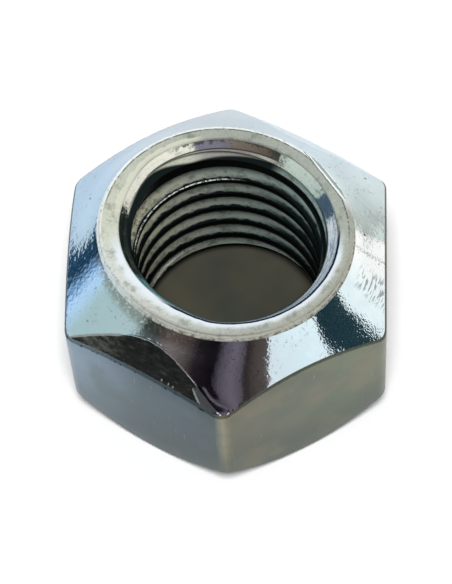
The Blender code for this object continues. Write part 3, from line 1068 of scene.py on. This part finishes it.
# Painted highlights on burrs: the edge of the first turn, and the lower end of the thread
HIGHLIGHT_EDGE_BAND = ("turned_radius", CREST_MM + 0.005, CREST_MM + 0.02, CREST_MM + 0.06, CREST_MM + 0.11)
HIGHLIGHT_GRAIN = ("grain", 0.44, 0.54)
PAINTED_HIGHLIGHT_PARTS = (
    (HIGHLIGHT_EDGE_BAND, ("z", 10.2, 10.6), ("sector", 132.0, 44.0, 10.0), HIGHLIGHT_GRAIN),
    (("z", 1.86, 1.90, 1.98, 2.02), ("sector", 100.0, 50.0, 12.0), HIGHLIGHT_GRAIN),
)
CREST_SWAY = 0.25
BORDER_SWAY = 0.6
MOUTH_SWAY = 0.035
SUNK_DEPTH = 0.5
SUNK_SIDE = ("sector", 162.0, 27.0, 25.0)
REAR = ("sector", 108.0, 48.0, 8.0)
ABOVE = (("z", 14.30, 14.42), ("turned_radius", 7.36, 7.42))
LANDING = (("sunk", 13.78, 13.90), ("z", 14.74, 14.68), REAR)
LANDING_CREAM = (0.50, 0.52, 0.43)
LANDING_MARKS = (
    ((0.30, 0.29, 0.27), 1.0, ("sector", 90.0, 16.0, 8.0)),
    ((0.16, 0.15, 0.11), 0.6, ("grain", 0.52, 0.66)),
)
MATT_LOSS = 0.9
MATT_SHINE = 0.12
BORE_MARKS = (
    ("mouth", 1.0, ("above",)),
    ("cream", 1.0, ("landing",)),
    ((0.035, 0.03, 0.025), 0.9, ("z", 14.64, 14.69, 14.74, 14.79), REAR),
    ((0.85, 0.90, 0.86), 1.0, ("bright",)),
)


def bore_metal():
    """The threaded bore: dark, with painted shade on its crests and deep in its grooves, paler flanks on
    the left, painted highlights on burrs, and a mouth coloured with painted reflections and shade, brown
    behind.
    """
    look = Look("zinc_bore", (0.20, 0.22, 0.19), 0.4, BORE_NOISES)
    look.measures.update(
        torn=look.frayed("turned_radius", "cloud", CREST_SWAY),
        border=look.frayed("turned_radius", "fray", BORDER_SWAY),
        sunk=look.scaled(look.condition(*SUNK_SIDE), -SUNK_DEPTH, "z"),
        above=look.meet(*ABOVE),
    )
    look.measures.update(
        dark=look.most(*[look.meet(*part) for part in PAINTED_SHADE_PARTS]),
        bright=look.most(*[look.meet(*part) for part in PAINTED_HIGHLIGHT_PARTS]),
        landing=look.meet(*LANDING),
        mouth=look.marked(look.colours_round(MOUTH_TONE_AND_PAINTED_LIGHT, "wobble", MOUTH_SWAY), MOUTH_MARKS),
        cream=look.marked(LANDING_CREAM, LANDING_MARKS),
    )
    matt = look.most("above", "landing", "bright")
    look.feed(look.shader.inputs["Metallic"], look.scaled(matt, -MATT_LOSS, 1.0))
    look.shader.inputs["Specular IOR Level"].default_value = MATT_SHINE
    flank = look.marked(look.colours_round(FLANK_TONE_AND_PAINTED_LIGHT), FLANK_MARKS)
    return look.finish(flank, BORE_MARKS, (("grain", 0.00002),))


FLAT_NOISES = {
    "cloud": (0.22, 3.0, 0.55),
    "grain": (6.0, 4.0, 0.7),
    "tan": (0.30, 2.0, 0.5),
    "scratches": ((60.0, 60.0, 0.5), 2.0, 0.5),
}
# Flat colour round the ring: slate blue towards -X and olive-tan towards +X, darker than the crown's zinc,
# with painted shade darkest on the front-left face and a painted tan highlight down the front corner at -90
# degrees
FLAT_TONE_AND_PAINTED_LIGHT = (
    (-178, (0.24, 0.32, 0.38)),
    (-148, (0.21, 0.29, 0.36)),
    (-120, (0.076, 0.117, 0.152)),
    (-92, (0.050, 0.078, 0.090)),
    (-91, (0.26, 0.26, 0.19)),
    (-89.6, (0.28, 0.26, 0.18)),
    (-88, (0.145, 0.14, 0.105)),
    (-66, (0.160, 0.168, 0.125)),
    (-45, (0.165, 0.195, 0.140)),
    (-25, (0.190, 0.205, 0.150)),
    (0, (0.26, 0.28, 0.24)),
    (90, (0.26, 0.29, 0.27)),
    (178, (0.24, 0.31, 0.35)),
)
FLAT_SWAY = 0.003
FLAT_RIM_SWAY = 0.25
FLAT_MARKS = (
    # Painted shade: darker towards the bottom
    ((0.056, 0.074, 0.066), 0.6, ("z", 9.0, 1.0)),
    ((0.105, 0.135, 0.115), 0.35, ("cloud", 0.45, 0.62)),
    ((0.21, 0.185, 0.135), 0.45, ("tan", 0.45, 0.66), ("x", -1.0, 1.5)),
    ((0.06, 0.065, 0.06), 0.5, ("grain", 0.62, 0.72)),
    ((0.50, 0.53, 0.50), 0.4, ("scratches", 0.70, 0.76)),
    ((0.04, 0.045, 0.04), 0.6, ("torn_rim", 0.12, 0.04)),
    ((0.012, 0.012, 0.012), 1.0, ("worn", -0.55, -0.95)),
)


def flat_metal():
    """The six flats: satin, slate blue towards -X and olive-tan towards +X, with painted shade on the
    front-left face and towards the bottom, and a painted highlight down the front corner.
    """
    look = Look("zinc_flats", (0.22, 0.24, 0.23), 0.38, FLAT_NOISES)
    look.measures["torn_rim"] = look.frayed("below_rim", "grain", FLAT_RIM_SWAY)
    colour = look.colours_round(FLAT_TONE_AND_PAINTED_LIGHT, "grain", FLAT_SWAY)
    return look.finish(colour, FLAT_MARKS, (("grain", 0.000006),), look.scaled("cloud", 0.2, 0.28))


DULL_NOISES = {"grain": (4.0, 4.0, 0.7), "rings": ((3.0, 12.0, 12.0), 3.0, 0.6)}
DULL_SHADE = 0.45


def dull_metal(name, colour, roughness):
    """Turned faces that are mostly hidden: the underside and its chamfer."""
    look = Look(name, colour, roughness, DULL_NOISES)
    darker = tuple(DULL_SHADE * part for part in colour)
    return look.finish(colour, ((darker, 1.0, ("grain", 0.45, 0.72)),), (("rings", 0.000012),))


# Stage, camera and light

CAMERA_AZIMUTH = math.radians(5.9625)
CAMERA_ELEVATION = math.radians(59.44)
CAMERA_ROLL = math.radians(-4.861)
CAMERA_DISTANCE = 0.19757
CAMERA_AIM_RIGHT = -0.000602
CAMERA_AIM_UP = 0.003118
CAMERA_CLIP = 0.001
SENSOR_WIDTH = 36.0
LENS = 153.21

DISC_SIDES = 96
FLOOR_RADIUS = 1.5
FLOOR_HEIGHT = -0.00006
FLOOR_WHITE = (0.94, 0.94, 0.94)
UNDER_NUT_RADIUS = 0.0112
UNDER_NUT_HEIGHT = -0.00003
# Dark disc under the nut, seen through the bore: the dark ground the nut stood on, also standing in for the
# shade under the nut
UNDER_NUT_GROUND_AND_SHADE = (0.048, 0.052, 0.044)
STAIN_BROWN = (0.074, 0.070, 0.050)
STAIN_SCALE = 180.0
STAIN_LOW = 0.35
STAIN_HIGH = 0.65

LAMP_AZIMUTH = math.radians(-84.0)
LAMP_ELEVATION = math.radians(70.0)
LAMP_DISTANCE = 0.8
LAMP_SIZE = 0.2
LAMP_POWER = 5.9
WORLD_LIGHT = 0.27

# Reflection cards: how far off, how wide, and the colour that the crown mirrors at each direction
CARD_DISTANCE = 0.6
NEAR_CARD_DISTANCE = 0.45
CARD_TURN_STEP = 0.5
CARD_HALF_WIDTH = 0.13
CARD_AIM_RADIUS = 0.011
LEFT_CARD = (
    (-190.0, (0.85, 0.92, 1.00)),
    (-184.0, (0.55, 0.68, 0.80)),
    (-177.0, (0.04, 0.11, 0.18)),
    (-167.0, (0.015, 0.05, 0.09)),
    (-161.0, (0.34, 0.50, 0.68)),
    (-157.0, (0.74, 0.88, 1.00)),
    (-153.0, (0.74, 0.88, 1.00)),
    (-150.0, (0.71, 0.83, 0.82)),
    (-128.0, (0.69, 0.81, 0.80)),
    (-124.0, (0.11, 0.13, 0.12)),
    (-118.0, (0.10, 0.11, 0.10)),
)
FRONT_CARD = (
    (-118.0, (0.15, 0.125, 0.12)),
    (-113.0, (0.25, 0.195, 0.18)),
    (-108.0, (0.17, 0.13, 0.125)),
    (-101.5, (0.020, 0.015, 0.017)),
    (-94.0, (0.006, 0.005, 0.008)),
    (-91.0, (0.13, 0.11, 0.14)),
    (-87.0, (0.20, 0.17, 0.20)),
    (-83.5, (0.13, 0.11, 0.13)),
    (-82.0, (0.03, 0.018, 0.018)),
    (-79.0, (0.085, 0.062, 0.057)),
    (-73.0, (0.12, 0.09, 0.08)),
)
RIGHT_CARD = (
    (-49.0, (0.014, 0.034, 0.046)),
    (-31.0, (0.024, 0.050, 0.060)),
)


def camera_place():
    """Where the camera stands, and its right, up and back directions."""
    back = Vector((
        math.sin(CAMERA_AZIMUTH) * math.cos(CAMERA_ELEVATION),
        -math.cos(CAMERA_AZIMUTH) * math.cos(CAMERA_ELEVATION),
        math.sin(CAMERA_ELEVATION),
    ))
    level = Vector((math.cos(CAMERA_AZIMUTH), math.sin(CAMERA_AZIMUTH), 0))
    upright = back.cross(level)
    right = level * math.cos(CAMERA_ROLL) + upright * math.sin(CAMERA_ROLL)
    up = upright * math.cos(CAMERA_ROLL) - level * math.sin(CAMERA_ROLL)
    place = right * CAMERA_AIM_RIGHT + up * CAMERA_AIM_UP + back * CAMERA_DISTANCE
    return place, right, up, back


def add_camera():
    """Camera at the photograph's viewing angle."""
    place, right, up, back = camera_place()
    data = bpy.data.cameras.new("camera")
    data.sensor_width = SENSOR_WIDTH
    data.lens = LENS
    data.clip_start = CAMERA_CLIP
    camera = add_object("camera", data)
    camera.matrix_world = Matrix.Translation(place) @ Matrix((right, up, back)).transposed().to_4x4()
    bpy.context.scene.camera = camera


def matte(name, colour, stain=None):
    """Material without shine, with clouds of a second colour where one is given."""
    material = bpy.data.materials.new(name)
    material.use_nodes = True
    tree = material.node_tree
    shader = tree.nodes["Principled BSDF"]
    shader.inputs["Base Color"].default_value = (*colour, 1.0)
    shader.inputs["Roughness"].default_value = 1.0
    shader.inputs["Specular IOR Level"].default_value = 0.0
    if stain is not None:
        place = tree.nodes.new("ShaderNodeTexCoord")
        cloud = tree.nodes.new("ShaderNodeTexNoise")
        cloud.inputs["Scale"].default_value = STAIN_SCALE
        tree.links.new(place.outputs["Object"], cloud.inputs["Vector"])
        clouded = ramp_node(tree, cloud.outputs["Fac"], ((STAIN_LOW, colour), (STAIN_HIGH, stain)))
        tree.links.new(clouded, shader.inputs["Base Color"])
    return material


def add_disc(name, radius, height, material):
    work = bmesh.new()
    bmesh.ops.create_circle(work, cap_ends=True, segments=DISC_SIDES, radius=radius)
    bmesh.ops.translate(work, verts=work.verts, vec=(0, 0, height))
    mesh = bpy.data.meshes.new(name)
    work.to_mesh(mesh)
    work.free()
    mesh.materials.append(material)
    disc = add_object(name, mesh)


def mirrored(azimuth_deg):
    """Place on the crown, and the direction that the camera sees mirrored in it there."""
    turn = math.radians(azimuth_deg)
    lean = math.atan(CROWN_SLOPE)
    outward = Vector((math.cos(turn), math.sin(turn), 0))
    normal = outward * math.sin(lean) + Vector((0, 0, math.cos(lean)))
    spot = outward * CARD_AIM_RADIUS + Vector((0, 0, crown_height(CARD_AIM_RADIUS)))
    view = (camera_place()[0] - spot).normalized()
    return spot, 2 * normal.dot(view) * normal - view


def add_crown_card(name, distance, colours):
    """Curved strip, seen only in reflections, that the crown mirrors from the first stop to the last."""
    start_deg = colours[0][0]
    span_deg = colours[-1][0] - start_deg
    steps = round(span_deg)
    points = []
    for step in range(steps + 1):
        turn = start_deg + span_deg * step / steps
        spot, ray = mirrored(turn)
        ahead = mirrored(turn + CARD_TURN_STEP)[1] - mirrored(turn - CARD_TURN_STEP)[1]
        across = ray.cross(ahead).normalized() * CARD_HALF_WIDTH
        middle = spot + ray * distance
        points.extend([tuple(middle - across), tuple(middle + across)])
    mesh = bpy.data.meshes.new(name)
    faces = [(2 * step, 2 * step + 1, 2 * step + 3, 2 * step + 2) for step in range(steps)]
    mesh.from_pydata(points, [], faces)
    layer = mesh.uv_layers.new(name="across")
    for loop, corner in zip(mesh.loops, layer.data):
        corner.uv = (loop.vertex_index // 2 / steps, loop.vertex_index % 2)
    material = bpy.data.materials.new(name)
    material.use_nodes = True
    tree = material.node_tree
    tree.nodes.remove(tree.nodes["Principled BSDF"])
    place = tree.nodes.new("ShaderNodeUVMap")
    apart = tree.nodes.new("ShaderNodeSeparateXYZ")
    tree.links.new(place.outputs["UV"], apart.inputs["Vector"])
    stops = [((degrees - start_deg) / span_deg, colour) for degrees, colour in colours]
    glow = tree.nodes.new("ShaderNodeEmission")
    tree.links.new(ramp_node(tree, apart.outputs["X"], stops), glow.inputs["Color"])
    tree.links.new(glow.outputs["Emission"], tree.nodes["Material Output"].inputs["Surface"])
    mesh.materials.append(material)
    card = add_object(name, mesh)
    card.visible_camera = False
    card.visible_diffuse = False
    card.visible_shadow = False
    card.visible_transmission = False


def add_lamp():
    """Soft key lamp, high in front, that reflections don't show."""
    data = bpy.data.lights.new("key_lamp", "AREA")
    data.size = LAMP_SIZE
    data.energy = LAMP_POWER
    toward = Vector((
        math.cos(LAMP_AZIMUTH) * math.cos(LAMP_ELEVATION),
        math.sin(LAMP_AZIMUTH) * math.cos(LAMP_ELEVATION),
        math.sin(LAMP_ELEVATION),
    ))
    lamp = add_object("key_lamp", data)
    lamp.location = toward * LAMP_DISTANCE
    lamp.rotation_euler = toward.to_track_quat("Z", "Y").to_euler()
    lamp.visible_glossy = False


def add_world():
    """White to the eye and in reflections, and weaker as light."""
    world = bpy.data.worlds.new("studio")
    bpy.context.scene.world = world
    world.use_nodes = True
    tree = world.node_tree
    background = tree.nodes["Background"]
    background.inputs["Color"].default_value = (1.0, 1.0, 1.0, 1.0)
    path = tree.nodes.new("ShaderNodeLightPath")
    seen = path.outputs["Is Camera Ray"]
    for ray in ("Is Glossy Ray", "Is Transmission Ray"):
        sum_of_rays = tree.nodes.new("ShaderNodeMath")
        sum_of_rays.operation = "ADD"
        tree.links.new(seen, sum_of_rays.inputs[0])
        tree.links.new(path.outputs[ray], sum_of_rays.inputs[1])
        seen = sum_of_rays.outputs["Value"]
    strength = tree.nodes.new("ShaderNodeMapRange")
    strength.inputs["To Min"].default_value = WORLD_LIGHT
    strength.inputs["To Max"].default_value = 1.0
    tree.links.new(seen, strength.inputs["Value"])
    tree.links.new(strength.outputs["Result"], background.inputs["Strength"])


def add_stage():
    add_disc("floor", FLOOR_RADIUS, FLOOR_HEIGHT, matte("floor_white", FLOOR_WHITE))
    under_nut = matte("under_nut_ground_and_shade", UNDER_NUT_GROUND_AND_SHADE, STAIN_BROWN)
    add_disc("under_nut", UNDER_NUT_RADIUS, UNDER_NUT_HEIGHT, under_nut)
    add_crown_card("left_card", CARD_DISTANCE, LEFT_CARD)
    add_crown_card("front_card", CARD_DISTANCE, FRONT_CARD)
    add_crown_card("right_card", NEAR_CARD_DISTANCE, RIGHT_CARD)
    add_lamp()
    add_world()


nut = build_nut()
LOOKS = {
    "bearing_face": dull_metal("zinc_bearing_face", (0.45, 0.48, 0.47), 0.35),
    # The underside chamfer gets a much darker zinc than the bearing face: painted shade on the
    # downward-facing chamfer
    "underside_chamfer": dull_metal("zinc_underside_chamfer", (0.12, 0.13, 0.13), 0.4),
    "flats": flat_metal(),
    "crown": crown_metal(),
    "collar": collar_metal(),
    "face": face_metal(),
    "bore": bore_metal(),
}
for region in REGIONS:
    nut.data.materials.append(LOOKS[region])
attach(nut, "root")
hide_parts("lock_nut")
add_camera()
add_stage()
bpy.context.scene.view_settings.view_transform = "Standard"
